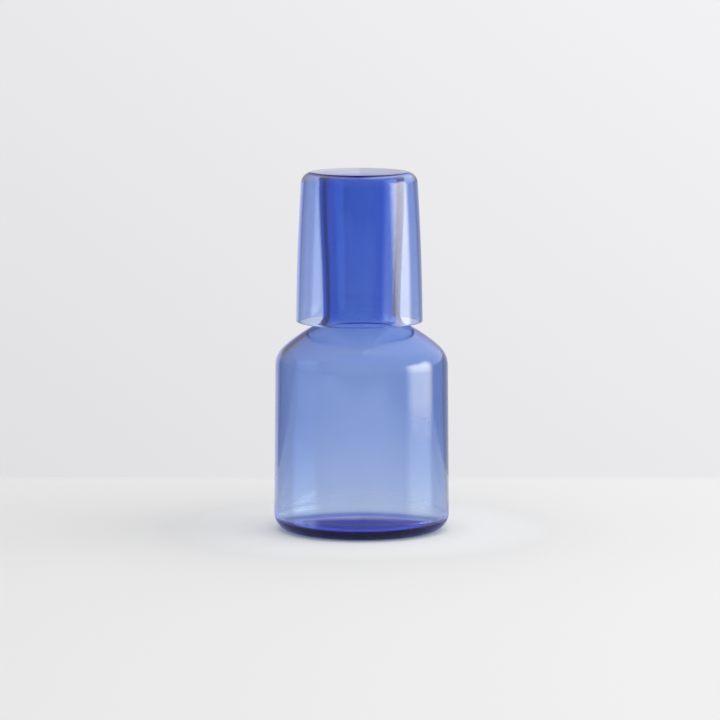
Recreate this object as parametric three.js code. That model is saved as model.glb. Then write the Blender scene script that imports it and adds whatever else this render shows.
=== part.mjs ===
// A bedside carafe in blue glass, with its tumbler turned over the neck as a lid.
// Millimetres, +Z up. The origin is the centre of the carafe's foot, on the table.
import * as THREE from "three";

// Carafe body: a straight wall on a rounded heel, standing on a ring around a shallow punt
const bodyDiameter = 100; // widest, just above the heel
const wallTaper = 0.8; // radius lost between the heel and the shoulder
const wallHeight = 94.3; // from the table to where the shoulder starts to turn
const bodyWall = 3;
const heelRadius = 9.9;
const footRingWidth = 4.1; // flat between the heel and the punt
const puntDepth = 1.5; // how far the middle of the base is pushed up
const baseThickness = 5.2;
const innerHeelRadius = 4.5;
const heelWall = 2.2; // the wall thins towards the heel
const thinBelow = 70; // height under which it thins
const thinBend = 51; // height where its inside bends most

// Carafe shoulder: a tight corner that runs into a flatter dome
const cornerRadius = 14.7;
const cornerEndSlope = 41.4; // degrees from level, where the corner meets the dome
const domeRadius = 93.8;

// Carafe neck: a fillet out of the dome, then a long funnel up to the lip
const neckFilletRadius = 5.7;
const waistDiameter = 44.1; // narrowest, just above the fillet
const neckFlare = 2.3; // radius gained from the waist to the lip
const neckWall = 4;

// Tumbler, which stands upside down
const tumblerHeight = 85.4;
const tumblerTaper = 2.9; // radius gained from the base corner to the rim
const tumblerBow = 0.5; // how far the wall swells past a straight taper
const tumblerWall = 2.3;
const tumblerBase = 1.6;
const tumblerCornerRadius = 6.5;
const rimWall = 1.8;

// How the two fit together
const seatGap = 0.3; // from the lip up to the inside of the tumbler's base
const neckPlay = 6.5; // from the lip out to the tumbler's wall, when centred
const rimClearance = 5.7; // from the shoulder up to the tumbler's rim
const seatShift = 1.3; // how far off centre the tumbler was set down, towards -X

// Facets: around the axis, per arc of a profile, and along its long curves
const facetsAround = 64;
const facetAngle = THREE.MathUtils.degToRad(15);
const fewestArcFacets = 3;
const longCurveFacets = 6;
const samePlace = 1e-6;

// Profiles are drawn in the half plane of radius and height.
function point(radius, height) {
  return new THREE.Vector2(radius, height);
}

// The point at a distance from a centre, in a direction given as an angle from the radius axis.
function polar(centre, distance, angle) {
  return point(centre.x + distance * Math.cos(angle), centre.y + distance * Math.sin(angle));
}

function arc(centre, radius, from, to) {
  const facets = Math.max(fewestArcFacets, Math.round(Math.abs(to - from) / facetAngle));
  const angles = Array.from({ length: facets + 1 }, (_, i) => THREE.MathUtils.lerp(from, to, i / facets));
  return angles.map((angle) => polar(centre, radius, angle));
}

// Strings stretches into one outline, and leaves out a point that repeats the one before it.
function outline(...stretches) {
  const isNew = (here, i, all) => i === 0 || here.distanceTo(all[i - 1]) > samePlace;
  return stretches.flat().filter(isNew);
}

const levelUp = Math.PI / 2;
const levelDown = -Math.PI / 2;
const inward = Math.PI;

// The shoulder's corner and the dome that it runs into.
const bodyRadius = bodyDiameter / 2;
const waistRadius = waistDiameter / 2;
const cornerCentre = point(bodyRadius - wallTaper - cornerRadius, wallHeight);
const cornerEnd = levelUp - THREE.MathUtils.degToRad(cornerEndSlope);
const domeCentre = polar(cornerCentre, cornerRadius - domeRadius, cornerEnd);

// Height of the shoulder's outside at a radius, on the dome or, further out, on the corner.
function shoulderHeight(radius) {
  const onDome = radius < polar(cornerCentre, cornerRadius, cornerEnd).x;
  const centre = onDome ? domeCentre : cornerCentre;
  const reach = onDome ? domeRadius : cornerRadius;
  return centre.y + Math.sqrt(Math.max(0, reach ** 2 - (radius - centre.x) ** 2));
}

// Where the two vessels meet: the tumbler clears the lip all round and hangs above the shoulder.
const lipRadius = waistRadius + neckFlare;
const tumblerBaseRadius = lipRadius + neckPlay + tumblerWall;
const tumblerRimRadius = tumblerBaseRadius + tumblerTaper;
const rimHeight = shoulderHeight(tumblerRimRadius - rimWall - seatShift) + rimClearance;
const lipHeight = rimHeight + tumblerHeight - tumblerBase - seatGap;

const lipRound = neckWall / 2;

// One skin of the carafe from the shoulder to the lip: corner, dome and neck fillet, each tangent to
// the next, and the funnel. It is set in from the outside by a depth of glass.
function carafeSkin(depth, neckDepth) {
  const filletRadius = neckFilletRadius + neckDepth;
  const domeToFillet = domeRadius - depth + filletRadius;
  const domeEnd = Math.acos((waistRadius + neckFilletRadius - domeCentre.x) / domeToFillet);
  const filletCentre = polar(domeCentre, domeToFillet, domeEnd);
  const neckFoot = point(waistRadius - neckDepth, filletCentre.y);
  const neckTop = point(lipRadius - neckDepth, lipHeight - lipRound);
  const handle = (neckTop.y - neckFoot.y) / 3;
  const neck = new THREE.CubicBezierCurve(
    neckFoot,
    point(neckFoot.x, neckFoot.y + handle),
    point(neckTop.x, neckTop.y - handle),
    neckTop,
  );
  return outline(
    arc(cornerCentre, cornerRadius - depth, 0, cornerEnd),
    arc(domeCentre, domeRadius - depth, cornerEnd, domeEnd),
    arc(filletCentre, filletRadius, domeEnd - inward, -inward),
    neck.getPoints(longCurveFacets),
  );
}

// Where the inside of the wall stands, a full wall in from the straight outside.
function insideWall(height) {
  const climb = (height - heelRadius) / (wallHeight - heelRadius);
  return point(bodyRadius - wallTaper * climb - bodyWall, height);
}

// The pushed-up middle of the base, drawn from the axis out to the punt's edge at a height.
function puntDome(height) {
  const puntRadius = bodyRadius - heelRadius - footRingWidth;
  const sphere = (puntRadius ** 2 + puntDepth ** 2) / (2 * puntDepth);
  return arc(point(0, height + puntDepth - sphere), sphere, levelUp, Math.acos(puntRadius / sphere));
}

function carafeProfile() {
  const heelCentre = point(bodyRadius - heelRadius, heelRadius);
  const lipCentre = point(lipRadius - lipRound, lipHeight - lipRound);
  const innerHeelCentre = point(bodyRadius - heelWall - innerHeelRadius, baseThickness + innerHeelRadius);
  const bend = insideWall(thinBend);
  const lean = Math.atan2(bodyRadius - heelWall - bend.x, thinBend - innerHeelCentre.y);
  const thinFoot = polar(innerHeelCentre, innerHeelRadius, lean);
  const thinning = new THREE.QuadraticBezierCurve(insideWall(thinBelow), bend, thinFoot);
  return outline(
    puntDome(0),
    arc(heelCentre, heelRadius, levelDown, 0),
    carafeSkin(0, 0),
    arc(lipCentre, lipRound, 0, inward),
    carafeSkin(bodyWall, neckWall).reverse(),
    thinning.getPoints(longCurveFacets),
    arc(innerHeelCentre, innerHeelRadius, lean, levelDown),
    puntDome(baseThickness).reverse(),
  );
}

// One skin of the tumbler, from just above its rim to the middle of its base. Height 0 is the rim.
function tumblerSkin(rimRadius, baseRadius, corner, top) {
  const lean = Math.atan2(rimRadius - baseRadius + 4 * tumblerBow, top - corner);
  const foot = point(rimRadius, rimWall / 2);
  const turn = point(baseRadius, top - corner + corner * Math.sin(lean));
  const swell = point((foot.x + turn.x) / 2 + 2 * tumblerBow, (foot.y + turn.y) / 2);
  const turnCentre = point(baseRadius - corner * Math.cos(lean), top - corner);
  return outline(
    new THREE.QuadraticBezierCurve(foot, swell, turn).getPoints(longCurveFacets),
    arc(turnCentre, corner, lean, levelUp),
    [point(0, top)],
  );
}

function tumblerProfile() {
  const rimCentre = point(tumblerRimRadius - rimWall / 2, rimWall / 2);
  const inside = tumblerSkin(
    tumblerRimRadius - rimWall,
    tumblerBaseRadius - tumblerWall,
    tumblerCornerRadius - tumblerWall,
    tumblerHeight - tumblerBase,
  );
  const outside = tumblerSkin(tumblerRimRadius, tumblerBaseRadius, tumblerCornerRadius, tumblerHeight);
  return outline(inside.reverse(), arc(rimCentre, rimWall / 2, -inward, 0), outside);
}

// A lathe turns a profile about its own upright axis, which is then laid along +Z.
function blownVessel(name, profile, material) {
  const shape = new THREE.LatheGeometry(profile, facetsAround).rotateX(Math.PI / 2);
  const vessel = new THREE.Mesh(shape, material);
  vessel.name = name;
  return vessel;
}

const carafeGlass = new THREE.MeshStandardMaterial({
  color: 0x7f9bd4,
  roughness: 0.04,
  metalness: 0,
  transparent: true,
  opacity: 0.55,
});
const tumblerGlass = new THREE.MeshStandardMaterial({
  color: 0x869bd1,
  roughness: 0.04,
  metalness: 0,
  transparent: true,
  opacity: 0.5,
});

const carafe = blownVessel("carafe", carafeProfile(), carafeGlass);
const tumbler = blownVessel("tumbler", tumblerProfile(), tumblerGlass);
tumbler.position.set(-seatShift, 0, rimHeight);

const carafeWithTumbler = new THREE.Group();
carafeWithTumbler.add(carafe, tumbler);

export default carafeWithTumbler;
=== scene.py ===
# %% [markdown]
# # A blue glass carafe with its tumbler
#
# The object is two blown vessels and nothing else: a carafe, and a tumbler turned over its neck as a lid.
# This lesson models each as one closed wall of glass, gives it a glass that colours light by the distance
# the light travels inside, and sets both on a pale table in a pale room with one large window on the right.

import math

import bpy
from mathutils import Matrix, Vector


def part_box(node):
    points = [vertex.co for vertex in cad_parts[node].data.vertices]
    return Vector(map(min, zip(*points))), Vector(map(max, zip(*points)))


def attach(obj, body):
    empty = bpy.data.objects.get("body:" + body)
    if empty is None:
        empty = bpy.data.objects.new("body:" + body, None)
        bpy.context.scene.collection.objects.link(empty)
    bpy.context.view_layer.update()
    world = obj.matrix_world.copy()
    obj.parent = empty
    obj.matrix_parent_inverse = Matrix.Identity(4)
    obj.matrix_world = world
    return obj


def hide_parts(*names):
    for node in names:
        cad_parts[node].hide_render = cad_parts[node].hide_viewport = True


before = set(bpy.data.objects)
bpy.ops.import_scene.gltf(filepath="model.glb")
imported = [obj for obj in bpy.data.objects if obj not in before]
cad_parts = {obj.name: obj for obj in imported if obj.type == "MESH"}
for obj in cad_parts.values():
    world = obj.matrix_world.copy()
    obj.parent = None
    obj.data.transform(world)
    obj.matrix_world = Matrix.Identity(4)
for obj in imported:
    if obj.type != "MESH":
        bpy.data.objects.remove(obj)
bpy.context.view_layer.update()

# %% [markdown]
# ## Outlines
#
# A blown vessel is round, so its whole shape is in one outline: half of a cut down its middle, in the plane
# of radius and height. It could be drawn freehand with a curve, but glass shows every crease. So the round
# stretches are true arcs, each with a centre and a radius, and neighbouring arcs are made tangent.

# %% Round stretches
MM = 0.001
UP = math.pi / 2
INWARD = math.pi
ARC_STEP = math.radians(5)
FEWEST_STEPS = 8


def polar(centre, distance, angle):
    """The point at a distance from a centre, in a direction given as an angle from the radius axis."""
    return (centre[0] + distance * math.cos(angle), centre[1] + distance * math.sin(angle))


def arc(centre, radius, start, end):
    """Points along an arc, from one direction out of its centre to another."""
    steps = max(FEWEST_STEPS, round(abs(end - start) / ARC_STEP))
    return [polar(centre, radius, start + (end - start) * i / steps) for i in range(steps + 1)]


print(f"a quarter turn has {len(arc((0, 0), 1, 0, UP))} points")

# %% [markdown]
# ## Long stretches
#
# Walls and necks are nearly straight, so an arc would need a far-off centre. They are drawn as short curves
# between two points: one that bends towards a corner, and one that opens like a funnel.

# %% Long stretches
LONG_STEPS = 24
long_shares = [i / LONG_STEPS for i in range(LONG_STEPS + 1)]


def between(start, end, share):
    """The point at a share of the way between two points."""
    return tuple(a + (b - a) * share for a, b in zip(start, end))


def bend(start, corner, end):
    """A curve that leaves start and reaches end, both times in line with the corner."""
    return [between(between(start, corner, t), between(corner, end, t), t) for t in long_shares]


def funnel(start, end):
    """A stretch that leaves and arrives upright, as a neck that opens does."""
    return [(between(start, end, t * t * (3 - 2 * t))[0], between(start, end, t)[1]) for t in long_shares]


print(f"a long stretch has {len(long_shares)} points")

# %% [markdown]
# ## The lathe
#
# By hand this is a Screw modifier or the Spin tool. Spin is used here: a single vertex is extruded along
# the outline, and the line is spun once round the upright axis. The seam and the two poles are then merged
# and the normals turned outwards, because glass is only glass if its surface is closed and knows its
# outside.

# %% Draw an outline
SAME_PLACE = 0.001 * MM


def draw_outline(name, outline):
    """A new piece, left in edit mode, that is a line of edges along the outline."""
    bpy.ops.object.select_all(action="DESELECT")
    bpy.ops.mesh.primitive_plane_add(size=MM)
    piece = bpy.context.object
    piece.name = piece.data.name = name
    bpy.ops.object.mode_set(mode="EDIT")
    bpy.ops.mesh.select_all(action="SELECT")
    bpy.ops.mesh.merge(type="CENTER")
    first_radius, first_height = outline[0]
    bpy.ops.transform.translate(value=(first_radius, 0, first_height))
    for here, there in zip(outline, outline[1:]):
        step = (there[0] - here[0], 0, there[1] - here[1])
        if math.hypot(*step) > SAME_PLACE:
            bpy.ops.mesh.extrude_vertices_move(TRANSFORM_OT_translate={"value": step})
    print(f"{name}: {len(outline)} outline points")
    return piece


# %% Turn an outline into glass
STEPS_ROUND = 256


def turn_on_lathe(name, outline, axis_x):
    """A closed, smooth wall of glass, turned from an outline and moved onto its axis."""
    piece = draw_outline(name, outline)
    bpy.ops.mesh.select_all(action="SELECT")
    bpy.ops.mesh.spin(steps=STEPS_ROUND, angle=2 * math.pi, center=(0, 0, 0), axis=(0, 0, 1))
    bpy.ops.mesh.select_all(action="SELECT")
    bpy.ops.mesh.remove_doubles(threshold=SAME_PLACE)
    bpy.ops.mesh.normals_make_consistent(inside=False)
    bpy.ops.transform.translate(value=(axis_x, 0, 0))
    bpy.ops.object.mode_set(mode="OBJECT")
    bpy.ops.object.shade_smooth()
    print(f"{name}: {len(piece.data.polygons)} faces")
    return piece


# %% [markdown]
# ## The carafe's shoulder and neck
#
# The shoulder is what makes this carafe: a tight corner runs into a flat dome, and a small fillet turns the
# dome up into the neck. Each of the three arcs has its centre placed so that it is tangent to the one
# before. The same function draws the outside and the inside; the inside is set in by the wall of the body
# and, further up, by the thicker wall of the neck.

# %% Sizes of the shoulder and neck
carafe_low, carafe_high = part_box("carafe")
body_radius = carafe_high.x
lip_height = carafe_high.z
wall_taper = 0.8 * MM
wall_height = 94.3 * MM
body_wall = 3.0 * MM
corner_radius = 14.7 * MM
corner_end_slope = math.radians(41.4)
dome_radius = 93.8 * MM
neck_fillet_radius = 5.7 * MM
waist_radius = 22.05 * MM
neck_flare = 2.3 * MM
neck_wall = 4.0 * MM

corner_centre = (body_radius - wall_taper - corner_radius, wall_height)
corner_end = UP - corner_end_slope
dome_centre = polar(corner_centre, corner_radius - dome_radius, corner_end)
lip_radius = waist_radius + neck_flare
lip_round = neck_wall / 2
print(f"carafe: {2 * body_radius / MM:.1f} mm across, {lip_height / MM:.1f} mm tall")

# %% Shoulder and neck


def shoulder_and_neck(depth, neck_depth):
    """From the top of the body's wall to the lip, set in by a depth of glass."""
    fillet_radius = neck_fillet_radius + neck_depth
    dome_to_fillet = dome_radius - depth + fillet_radius
    fillet_x = waist_radius - neck_depth + fillet_radius
    dome_end = math.acos((fillet_x - dome_centre[0]) / dome_to_fillet)
    fillet_centre = polar(dome_centre, dome_to_fillet, dome_end)
    neck_foot = (waist_radius - neck_depth, fillet_centre[1])
    neck_top = (lip_radius - neck_depth, lip_height - lip_round)
    return (
        arc(corner_centre, corner_radius - depth, 0, corner_end)
        + arc(dome_centre, dome_radius - depth, corner_end, dome_end)
        + arc(fillet_centre, fillet_radius, dome_end - INWARD, -INWARD)
        + funnel(neck_foot, neck_top)
    )


outer_shoulder = shoulder_and_neck(0, 0)
inner_shoulder = shoulder_and_neck(body_wall, neck_wall)
print(f"shoulder and neck: {len(outer_shoulder)} points outside, {len(inner_shoulder)} inside")

# %% [markdown]
# ## The carafe's base
#
# Blown glass gathers in the base. So the floor is thick, and the middle of the base is pushed up into a
# shallow punt that keeps it off the table. The punt is a flat dome, drawn once and used for both sides of
# the floor.

# %% Base
heel_radius = 9.9 * MM
base_thickness = 4.8 * MM
foot_ring_width = 4.1 * MM
punt_depth = 1.5 * MM

heel_centre = (body_radius - heel_radius, heel_radius)
punt_radius = body_radius - heel_radius - foot_ring_width


def punt_dome(height):
    """The pushed-up middle of the base, from the axis out to the foot ring, standing on a height."""
    sphere = (punt_radius**2 + punt_depth**2) / (2 * punt_depth)
    return arc((0, height + punt_depth - sphere), sphere, UP, math.acos(punt_radius / sphere))


print(f"punt: {2 * punt_radius / MM:.1f} mm across")

# %% [markdown]
# ## The carafe's wall
#
# Just above the base, blown glass thins, and the wall is thinnest at the heel. It could be left at one
# thickness, but that thin stretch is a faint prism, and it is why the lower body looks paler than the rest.
# Its inside is one long bend that leaves the full wall and reaches the inner heel in line with both.

# %% Wall
heel_wall = 1.5 * MM
inner_heel_radius = 4.0 * MM
thin_below = 70 * MM
thin_bend = 51 * MM


def outer_wall(height):
    """Where the straight outer wall is at a height."""
    climb = (height - heel_radius) / (wall_height - heel_radius)
    return (body_radius - wall_taper * climb, height)


def inner_wall(height):
    """Where the inner wall is at a height, above the stretch that thins."""
    return (outer_wall(height)[0] - body_wall, height)


thin_corner = inner_wall(thin_bend)
inner_heel_centre = (body_radius - heel_wall - inner_heel_radius, base_thickness + inner_heel_radius)
heel_lean = math.atan2(body_radius - heel_wall - thin_corner[0], thin_bend - inner_heel_centre[1])
thin_foot = polar(inner_heel_centre, inner_heel_radius, heel_lean)
print(f"wall: {body_wall / MM:.1f} mm, and {heel_wall / MM:.1f} mm at the heel")

# %% Carafe
carafe_outside = (
    punt_dome(0)
    + arc(heel_centre, heel_radius, -UP, 0)
    + [outer_wall(wall_height)]
    + outer_shoulder
)
carafe_inside = (
    punt_dome(base_thickness)
    + arc(inner_heel_centre, inner_heel_radius, -UP, heel_lean)
    + bend(thin_foot, thin_corner, inner_wall(thin_below))
    + inner_shoulder
)
lip = arc((lip_radius - lip_round, lip_height - lip_round), lip_round, 0, INWARD)
carafe = turn_on_lathe("carafe_glass", carafe_outside + lip + carafe_inside[::-1], 0)

# %% [markdown]
# ## The tumbler
#
# A plain drinking glass, upside down: a rounded rim, a wall that narrows a little and swells as blown walls
# do, and a rounded corner into a flat base. It stands a little off centre, as a hand would set it down, so
# its axis comes from the measured model.

# %% Sizes of the tumbler
tumbler_low, tumbler_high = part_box("tumbler")
rim_height = tumbler_low.z
tumbler_top = tumbler_high.z
tumbler_axis_x = (tumbler_low.x + tumbler_high.x) / 2
rim_radius = (tumbler_high.x - tumbler_low.x) / 2
tumbler_taper = 2.9 * MM
tumbler_bow = 0.5 * MM
tumbler_wall = 2.3 * MM
tumbler_base = 1.6 * MM
tumbler_corner_radius = 6.5 * MM
rim_wall = 1.8 * MM

rim_round = rim_wall / 2
base_radius = rim_radius - tumbler_taper
print(f"tumbler: {2 * rim_radius / MM:.1f} mm across, {(tumbler_top - rim_height) / MM:.1f} mm tall")

# %% Tumbler


def tumbler_skin(foot_radius, top_radius, corner, top):
    """One skin of the tumbler, from just above its rim to the middle of its base."""
    # A bend passes halfway to its corner, so the corner stands out by twice the bow.
    corner_out = 2 * tumbler_bow
    lean = math.atan2(foot_radius - top_radius + 2 * corner_out, top - rim_height - corner)
    foot = (foot_radius, rim_height + rim_round)
    turn_centre = (top_radius - corner * math.cos(lean), top - corner)
    turn = polar(turn_centre, corner, lean)
    halfway = between(foot, turn, 0.5)
    swell = (halfway[0] + corner_out, halfway[1])
    return bend(foot, swell, turn) + arc(turn_centre, corner, lean, UP) + [(0, top)]


tumbler_outside = tumbler_skin(rim_radius, base_radius, tumbler_corner_radius, tumbler_top)
tumbler_inside = tumbler_skin(
    rim_radius - rim_wall,
    base_radius - tumbler_wall,
    tumbler_corner_radius - tumbler_wall,
    tumbler_top - tumbler_base,
)
rim = arc((rim_radius - rim_round, rim_height + rim_round), rim_round, -INWARD, 0)
tumbler = turn_on_lathe("tumbler_glass", tumbler_inside[::-1] + rim + tumbler_outside, tumbler_axis_x)

# %% [markdown]
# ## A short way to write nodes
#
# Materials and the room are node trees. In the editor a node is added, its menus are set and its sockets
# are either typed into or wired. The first function does those three things, so that each node below is one
# statement. The others name what some nodes are mostly used for.

# %% Node tools
MIX_COLOUR_A, MIX_COLOUR_B, MIX_COLOUR_OUT = 6, 7, 2


def add_node(tree, kind, feeds, **settings):
    """Adds a node, and feeds its sockets with values or with other nodes' outputs."""
    node = tree.nodes.new("ShaderNode" + kind)
    for setting, value in settings.items():
        setattr(node, setting, value)
    for socket, feed in feeds.items():
        if isinstance(feed, bpy.types.NodeSocket):
            tree.links.new(feed, node.inputs[socket])
        else:
            node.inputs[socket].default_value = feed
    return node


def fade(tree, value, start, end, low=0.0, high=1.0, **settings):
    """Low where the value is at its start, high where it is at its end, and a fade between them."""
    feeds = {"Value": value, "From Min": start, "From Max": end, "To Min": low, "To Max": high}
    return add_node(tree, "MapRange", feeds, **settings).outputs["Result"]


def calculate(tree, operation, first, second):
    return add_node(tree, "Math", {0: first, 1: second}, operation=operation).outputs["Value"]


def mix_colours(tree, share, first, second):
    feeds = {"Factor": share, MIX_COLOUR_A: first, MIX_COLOUR_B: second}
    return add_node(tree, "Mix", feeds, data_type="RGBA").outputs[MIX_COLOUR_OUT]


print("node tools: add, fade, calculate, mix colours")

# %% [markdown]
# ## The skin of blown glass
#
# Blown glass is never quite true: slow ripples run through it, and the fire-polished skin is a touch less
# smooth in places. Both vessels were blown alike, so one node group makes a height for the ripples and a
# roughness for the skin from a place on the glass, and each material feeds it with its own ripple size.

# %% Skin group
roughest_skin = 0.012

skin_group = bpy.data.node_groups.new("blown_skin", "ShaderNodeTree")
for socket, kind in (("Place", "NodeSocketVector"), ("Ripples per Metre", "NodeSocketFloat")):
    skin_group.interface.new_socket(socket, in_out="INPUT", socket_type=kind)
for socket in ("Height", "Roughness"):
    skin_group.interface.new_socket(socket, in_out="OUTPUT", socket_type="NodeSocketFloat")
skin_in = skin_group.nodes.new("NodeGroupInput").outputs
skin_out = skin_group.nodes.new("NodeGroupOutput").inputs
ripples = add_node(
    skin_group,
    "TexNoise",
    {"Vector": skin_in["Place"], "Scale": skin_in["Ripples per Metre"], "Detail": 0.0},
).outputs["Fac"]
polish = fade(skin_group, ripples, 0.0, 1.0, 0.0, roughest_skin)
skin_group.links.new(ripples, skin_out["Height"])
skin_group.links.new(polish, skin_out["Roughness"])
print("skin group:", [item.name for item in skin_group.interface.items_tree])

# %% [markdown]
# ## Blue glass
#
# Clear blue glass has no colour on its surface. Its colour comes from inside, so it deepens where light
# crosses more walls. A tinted surface would colour every wall alike, however thick. So the surface is
# clear, and a Volume Absorption takes away a share of red, green and blue for each metre of glass.

# %% Glass
glass_ior = 1.5
ripple_depth = 0.05 * MM


def blue_glass(name, ripples_per_metre, absorbed_per_metre):
    """A clear glass that takes away so much red, green and blue for each metre."""
    strongest = max(absorbed_per_metre)
    passed_colour = (*[1 - share / strongest for share in absorbed_per_metre], 1)
    material = bpy.data.materials.new(name)
    material.use_nodes = True
    tree = material.node_tree
    place = add_node(tree, "TexCoord", {}).outputs["Object"]
    skin = add_node(
        tree,
        "Group",
        {"Place": place, "Ripples per Metre": ripples_per_metre},
        node_tree=skin_group,
    ).outputs
    bump = add_node(tree, "Bump", {"Height": skin["Height"], "Distance": ripple_depth})
    surface = tree.nodes["Principled BSDF"].inputs
    surface["Base Color"].default_value = (1, 1, 1, 1)
    surface["IOR"].default_value = glass_ior
    surface["Transmission Weight"].default_value = 1.0
    tree.links.new(skin["Roughness"], surface["Roughness"])
    tree.links.new(bump.outputs["Normal"], surface["Normal"])
    inside = add_node(tree, "VolumeAbsorption", {"Color": passed_colour, "Density": strongest})
    tree.links.new(inside.outputs["Volume"], tree.nodes["Material Output"].inputs["Volume"])
    print(f"{name}: passes {[round(share, 2) for share in passed_colour[:3]]}")
    return material


# %% Glass on both vessels
for piece, node, ripples_per_metre, absorbed_per_metre in (
    (carafe, "carafe", 30, (220.0, 152.0, 35.0)),
    (tumbler, "tumbler", 40, (220.0, 150.0, 8.0)),
):
    piece.data.materials.clear()
    piece.data.materials.append(blue_glass(node + "_blue_glass", ripples_per_metre, absorbed_per_metre))
    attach(piece, node)
    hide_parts(node)

# %% [markdown]
# ## The table
#
# A plain pale table under the glass. It could run on for ever, but a soft line shows close behind the
# carafe, so it is a plane that ends there. Each edge is written once, with the way over which it will melt.

# %% Table
TABLE_DROP = 0.1 * MM
# The axis that an edge crosses, its place on it, and the way inwards over which it melts, in metres.
table_edges = (
    ("X", -1.2, 0.5),
    ("X", 0.75, -0.45),
    ("Y", -1.2, 0.4),
    ("Y", 0.208, -0.032),
)
table_left, table_right, table_front, table_back = [edge for axis, edge, melting in table_edges]

bpy.ops.object.select_all(action="DESELECT")
bpy.ops.mesh.primitive_plane_add(size=1)
table = bpy.context.object
table.name = "table"
table.scale = (table_right - table_left, table_back - table_front, 1)
table.location = ((table_left + table_right) / 2, (table_front + table_back) / 2, -TABLE_DROP)
bpy.ops.object.transform_apply(location=True, rotation=False, scale=True)
print(f"table: {table.dimensions.x:.2f} by {table.dimensions.y:.2f} m")

# %% [markdown]
# ## The table's paint
#
# Matt enough to show no reflection. The paint is a touch darker away from the window: painted shade for the
# window's light falling off. Near the foot it is painted darker and bluish, as painted shade and painted
# blue light that came through the glass, and only for what the glass mirrors. Light Path tells such a ray:
# it has a Glossy Depth.

# %% Table paint
# Painted shade: the table's tone is lower away from the window, on the left.
dark_side_x, dark_side_tone = -0.2, 0.85
light_side_x, light_side_tone = 0.15, 0.9
# Painted shade and painted blue light on the table near the foot, seen only in what the glass mirrors.
mirrored_shade_and_blue_light = (0.50, 0.48, 1.0, 1)
plain_from, darkest_bluest_at = 140 * MM, 60 * MM
HALF_A_BOUNCE = 0.5


def has_bounced(tree, depth):
    """1 for a ray with a bounce of this kind behind it, and 0 for any other."""
    return calculate(tree, "GREATER_THAN", add_node(tree, "LightPath", {}).outputs[depth], HALF_A_BOUNCE)


paint = bpy.data.materials.new("pale_table")
paint.use_nodes = True
paint_tree = paint.node_tree
table_place = add_node(paint_tree, "TexCoord", {}).outputs["Object"]
along = add_node(paint_tree, "SeparateXYZ", {0: table_place}).outputs
from_axis = add_node(paint_tree, "VectorMath", {0: table_place}, operation="LENGTH").outputs["Value"]
# The tone with painted shade, from the left side to the window's side.
tone_with_painted_shade = fade(paint_tree, along["X"], dark_side_x, light_side_x, dark_side_tone, light_side_tone)
near_foot = fade(paint_tree, from_axis, plain_from, darkest_bluest_at)
# Only mirrored rays see the painted shade and blue light near the foot.
foot_shade_and_blue_light = calculate(paint_tree, "MULTIPLY", has_bounced(paint_tree, "Glossy Depth"), near_foot)
top_colour = mix_colours(paint_tree, foot_shade_and_blue_light, tone_with_painted_shade, mirrored_shade_and_blue_light)
top = add_node(paint_tree, "BsdfDiffuse", {"Color": top_colour})
print(f"table paint: tone {dark_side_tone} on the left, {light_side_tone} on the right")

# %% [markdown]
# ## Light that the glass gathers
#
# Glass gathers light: it passes some on around its foot, and leaves a blue pool under its base, brightest
# in a ring. Tracing that would take very many samples, so the table itself glows faintly there. Both glows
# are fades over the distance from the carafe's axis.

# %% Gathered light
pool_colour = (0.06, 0.10, 1.0, 1)
pool_brightness = 0.95
pool_dark_at, pool_bright_at = 24 * MM, 38 * MM
pool_ends_at, pool_full_at = 40.5 * MM, 37 * MM
halo_colour = (0.85, 0.95, 1.0, 1)
halo_brightness = 0.12
halo_ends_at, halo_full_at = 110 * MM, 65 * MM

pool_tone = fade(paint_tree, from_axis, pool_dark_at, pool_bright_at, 0.0, pool_brightness)
pool_edge = fade(paint_tree, from_axis, pool_ends_at, pool_full_at)
pool_strength = calculate(paint_tree, "MULTIPLY", pool_edge, pool_tone)
pool = add_node(paint_tree, "Emission", {"Color": pool_colour, "Strength": pool_strength})
halo_strength = fade(paint_tree, from_axis, halo_ends_at, halo_full_at, 0.0, halo_brightness)
halo = add_node(paint_tree, "Emission", {"Color": halo_colour, "Strength": halo_strength})
gathered = add_node(paint_tree, "AddShader", {0: pool.outputs[0], 1: halo.outputs[0]})
lit_top = add_node(paint_tree, "AddShader", {0: top.outputs[0], 1: gathered.outputs[0]})
print(f"gathered light: pool to {pool_ends_at / MM:.1f} mm, halo to {halo_ends_at / MM:.0f} mm")

# %% [markdown]
# ## Melting edges
#
# Seen from afar, the table's edges would cut across the picture, so they melt away: the back edge quickly,
# as the soft line behind the carafe, and the others over a long way. Each edge has its own fade, the fades
# are multiplied, and the product mixes the paint with nothing.

# %% Melting edges
solid = 1.0
for axis, edge, melting in table_edges:
    side = fade(paint_tree, along[axis], edge, edge + melting, interpolation_type="SMOOTHSTEP")
    solid = calculate(paint_tree, "MULTIPLY", solid, side)
nothing = add_node(paint_tree, "BsdfTransparent", {})
melt = add_node(paint_tree, "MixShader", {0: solid, 1: nothing.outputs[0], 2: lit_top.outputs[0]})
paint_tree.links.new(melt.outputs[0], paint_tree.nodes["Material Output"].inputs["Surface"])
table.data.materials.append(paint)
print(f"melting edges: {len(table_edges)}")

# %% [markdown]
# ## The room
#
# Glass is mostly a picture of the room around it. A room could be built of walls and lamps, but only their
# directions matter here, so the world paints tones over two angles: a bearing, which is 0 towards the
# viewer and grows to the right, and a climb above the table.

# %% Directions in the room
world = bpy.data.worlds.new("pale_room")
bpy.context.scene.world = world
world.use_nodes = True
world.cycles.sampling_method = "NONE"
room_tree = world.node_tree
heading = add_node(room_tree, "TexCoord", {}).outputs["Generated"]
heading_along = add_node(room_tree, "SeparateXYZ", {0: heading}).outputs
towards_viewer = calculate(room_tree, "MULTIPLY", heading_along["Y"], -1.0)
bearing = calculate(room_tree, "ARCTAN2", heading_along["X"], towards_viewer)
climb = add_node(room_tree, "Math", {0: heading_along["Z"]}, operation="ARCSINE").outputs["Value"]


def grey(level):
    return (level, level, level)


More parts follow.
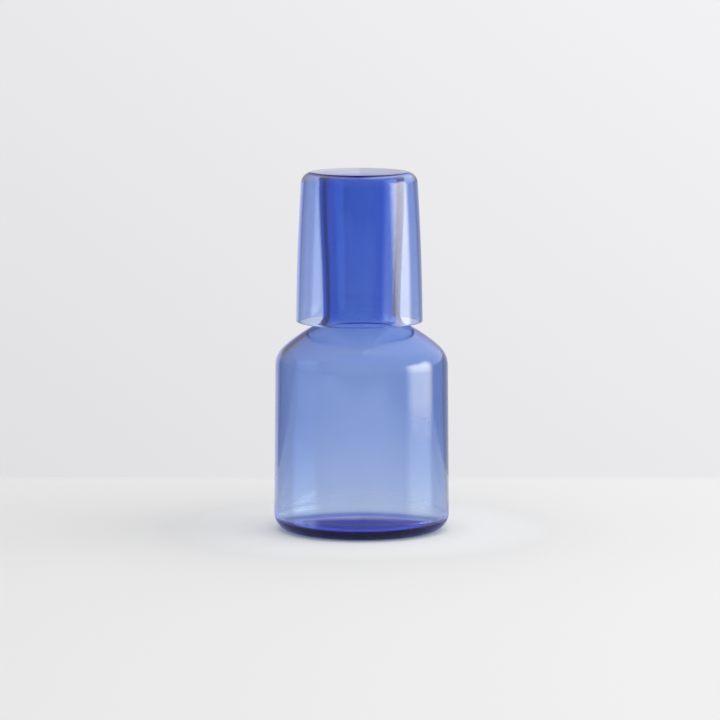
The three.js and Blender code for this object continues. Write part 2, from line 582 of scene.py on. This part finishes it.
def ramp(angle, low, high, stops):
    """Tones over an angle. Each stop is an angle in degrees and its tone."""
    share = fade(room_tree, angle, math.radians(low), math.radians(high))
    tones = add_node(room_tree, "ValToRGB", {"Fac": share})
    elements = tones.color_ramp.elements
    while len(elements) < len(stops):
        elements.new(1.0)
    for element, (degrees, tone) in zip(elements, stops):
        element.position = (degrees - low) / (high - low)
        element.color = (*tone, 1)
    return tones.outputs["Color"]


def towards(direction):
    """How far the heading points in a direction."""
    node = add_node(room_tree, "VectorMath", {0: heading, 1: direction}, operation="DOT_PRODUCT")
    return node.outputs["Value"]


print("room:", world.name)

# %% [markdown]
# ## The wall behind
#
# Seen straight, or through the glass, the wall is a pale grey that lightens to the right and upwards. One
# fade along a slanting direction gives that.

# %% Wall behind
wall_tint = (1.0, 0.991, 1.019, 1)
lighter_towards = (0.474, 0, 0.631)
dark_wall_at, dark_wall_tone = -0.14, 0.74
light_wall_at, light_wall_tone = 0.01, 0.89

wall_tone = fade(
    room_tree,
    towards(lighter_towards),
    dark_wall_at,
    light_wall_at,
    dark_wall_tone,
    light_wall_tone,
)
wall = add_node(room_tree, "Background", {"Color": wall_tint, "Strength": wall_tone})
print(f"wall: tone {dark_wall_tone} to {light_wall_tone}")

# %% [markdown]
# ## The room that the glass mirrors
#
# The glass mirrors the rest of the room: dark towards the viewer, dim on the left, pale low at the back.
# Higher up it is brownish on the left and bright on the right, and the back is a dim blue. Two ramps over
# the bearing hold the low and the high tones, and a short ramp over the climb leads from one to the other.

# %% Mirrored room
ALL_ROUND = (-180, 180)
wall_low = (0.81, 0.80, 0.82)
dim_left = (0.36, 0.33, 0.31)
brown_left = (0.58, 0.44, 0.22)
dim_back = (0.12, 0.08, 0.40)

low_tones = ramp(
    bearing,
    *ALL_ROUND,
    (
        (-180, wall_low),
        (-152, wall_low),
        (-145, dim_left),
        (-55, dim_left),
        (-45, grey(0.1)),
        (112, grey(0.1)),
        (118, grey(0.15)),
        (135, grey(0.38)),
        (150, grey(0.45)),
        (178, grey(0.7)),
    ),
)
high_tones = ramp(
    bearing,
    *ALL_ROUND,
    (
        (-180, dim_back),
        (-155, brown_left),
        (-120, brown_left),
        (-45, grey(0.3)),
        (50, grey(0.3)),
        (120, grey(1.0)),
        (140, grey(1.2)),
        (155, grey(1.1)),
        (180, dim_back),
    ),
)
high_share = ramp(climb, 0, 20, ((6, grey(0)), (9, grey(1))))
room_tones = mix_colours(room_tree, high_share, low_tones, high_tones)
room = add_node(room_tree, "Background", {"Color": room_tones})
print("mirrored room: low and high tones")

# %% [markdown]
# ## The window that the glass mirrors
#
# The tall pale mark on the carafe's right, and the stripe on its neck, are the window. A lamp in that place
# would be mirrored as a hard rectangle. Two ramps, one across and one up, give it soft ends and a dimmer
# foot.

# %% Mirrored window
window_colour = (1.0, 0.88, 0.53, 1)
window_brightness = 7.5

window_across = ramp(
    bearing,
    0,
    180,
    ((61, grey(0)), (73, grey(1)), (102, grey(1)), (112, grey(0))),
)
window_up = ramp(
    climb,
    -20,
    40,
    ((-9, grey(0.5)), (-5, grey(0.62)), (0, grey(0.9)), (3, grey(1)), (20, grey(1)), (28, grey(0))),
)
window_shape = calculate(room_tree, "MULTIPLY", window_across, window_up)
window_strength = calculate(room_tree, "MULTIPLY", window_shape, window_brightness)
glow = add_node(room_tree, "Background", {"Color": window_colour, "Strength": window_strength})
print(f"mirrored window: {window_brightness} times white")

# %% [markdown]
# ## Even light
#
# The table would look patchy under the mirrored room. It gets a plain white light of its own, brightest
# overhead and a little to the right.

# %% Even light
brightest_towards = (0.2, -0.1, 0.93)
level_tone = 0.27

even_tone = calculate(room_tree, "ADD", towards(brightest_towards), level_tone)
even_light = add_node(room_tree, "Background", {"Color": (1, 1, 1, 1), "Strength": even_tone})
print(f"even light: {level_tone} from the side")

# %% [markdown]
# ## Which ray sees what
#
# Light Path sorts the rays, as it did for the table. A ray that was mirrored on its way sees the mirrored
# room and window, one that comes from the table sees the even light, and all others see the wall behind.

# %% Which ray sees what
was_mirrored = has_bounced(room_tree, "Glossy Depth")
from_table = has_bounced(room_tree, "Diffuse Depth")
whole_room = add_node(room_tree, "AddShader", {0: room.outputs[0], 1: glow.outputs[0]})
seen = add_node(room_tree, "MixShader", {0: was_mirrored, 1: wall.outputs[0], 2: whole_room.outputs[0]})
lit = add_node(room_tree, "MixShader", {0: from_table, 1: seen.outputs[0], 2: even_light.outputs[0]})
room_tree.links.new(lit.outputs[0], room_tree.nodes["World Output"].inputs["Surface"])
print(f"room: {len(room_tree.nodes)} nodes")

# %% [markdown]
# ## The window's light
#
# The mirrored window above is only a picture of it. Its light on the table, and the long soft shadow to the
# left, come from an area light of about the same size in about the same place, which the glass itself does
# not see.

# %% Window light
window_bearing = math.radians(84.5)
window_distance = 2.2
window_width = 2.59
window_low, window_high = 0.2, 1.1
window_watts = 18

window_place = (
    window_distance * math.sin(window_bearing),
    -window_distance * math.cos(window_bearing),
    (window_low + window_high) / 2,
)
bpy.ops.object.light_add(type="AREA", location=window_place)
window = bpy.context.object
window.name = "window"
window.data.shape = "RECTANGLE"
window.data.size = window_width
window.data.size_y = window_high - window_low
window.data.energy = window_watts
window.visible_camera = False
window.visible_glossy = False
window.visible_transmission = False
window.rotation_mode = "QUATERNION"
towards_carafe = Vector((-window_place[0], -window_place[1], 0))
window.rotation_quaternion = towards_carafe.to_track_quat("-Z", "Y")
print(f"window: {window_width:.2f} m wide, {window_watts} W")

# %% [markdown]
# ## The camera
#
# A long lens from far off, a little above the tumbler's top: the sides stay upright and the ellipses are
# thin.

# %% Camera
PICTURE_WIDTH = 720
SENSOR_WIDTH = 36
focal_length_in_pixels = 4473
camera_tilt_down = 0.1259
camera_place = (-0.93 * MM, -2529.6 * MM, 417.5 * MM)

camera_data = bpy.data.cameras.new("camera")
camera = bpy.data.objects.new("camera", camera_data)
bpy.context.scene.collection.objects.link(camera)
camera.location = camera_place
camera.rotation_euler = (math.pi / 2 - camera_tilt_down, 0, 0)
camera_data.sensor_width = SENSOR_WIDTH
camera_data.lens = SENSOR_WIDTH * focal_length_in_pixels / PICTURE_WIDTH
bpy.context.scene.camera = camera
print(f"lens: {camera_data.lens:.1f} mm")

# %% [markdown]
# ## Light paths through glass
#
# A ray that crosses the tumbler and the neck meets eight surfaces, and in the base it is mirrored to and
# fro. With few bounces those places turn black, so they get more than the default.

# %% Render settings
glass_bounces = 32
mirror_bounces = 16

scene = bpy.context.scene
scene.view_settings.view_transform = "Standard"
scene.cycles.max_bounces = glass_bounces
scene.cycles.transmission_bounces = glass_bounces
scene.cycles.glossy_bounces = mirror_bounces
print(f"bounces: {glass_bounces} through glass, {mirror_bounces} mirrored")
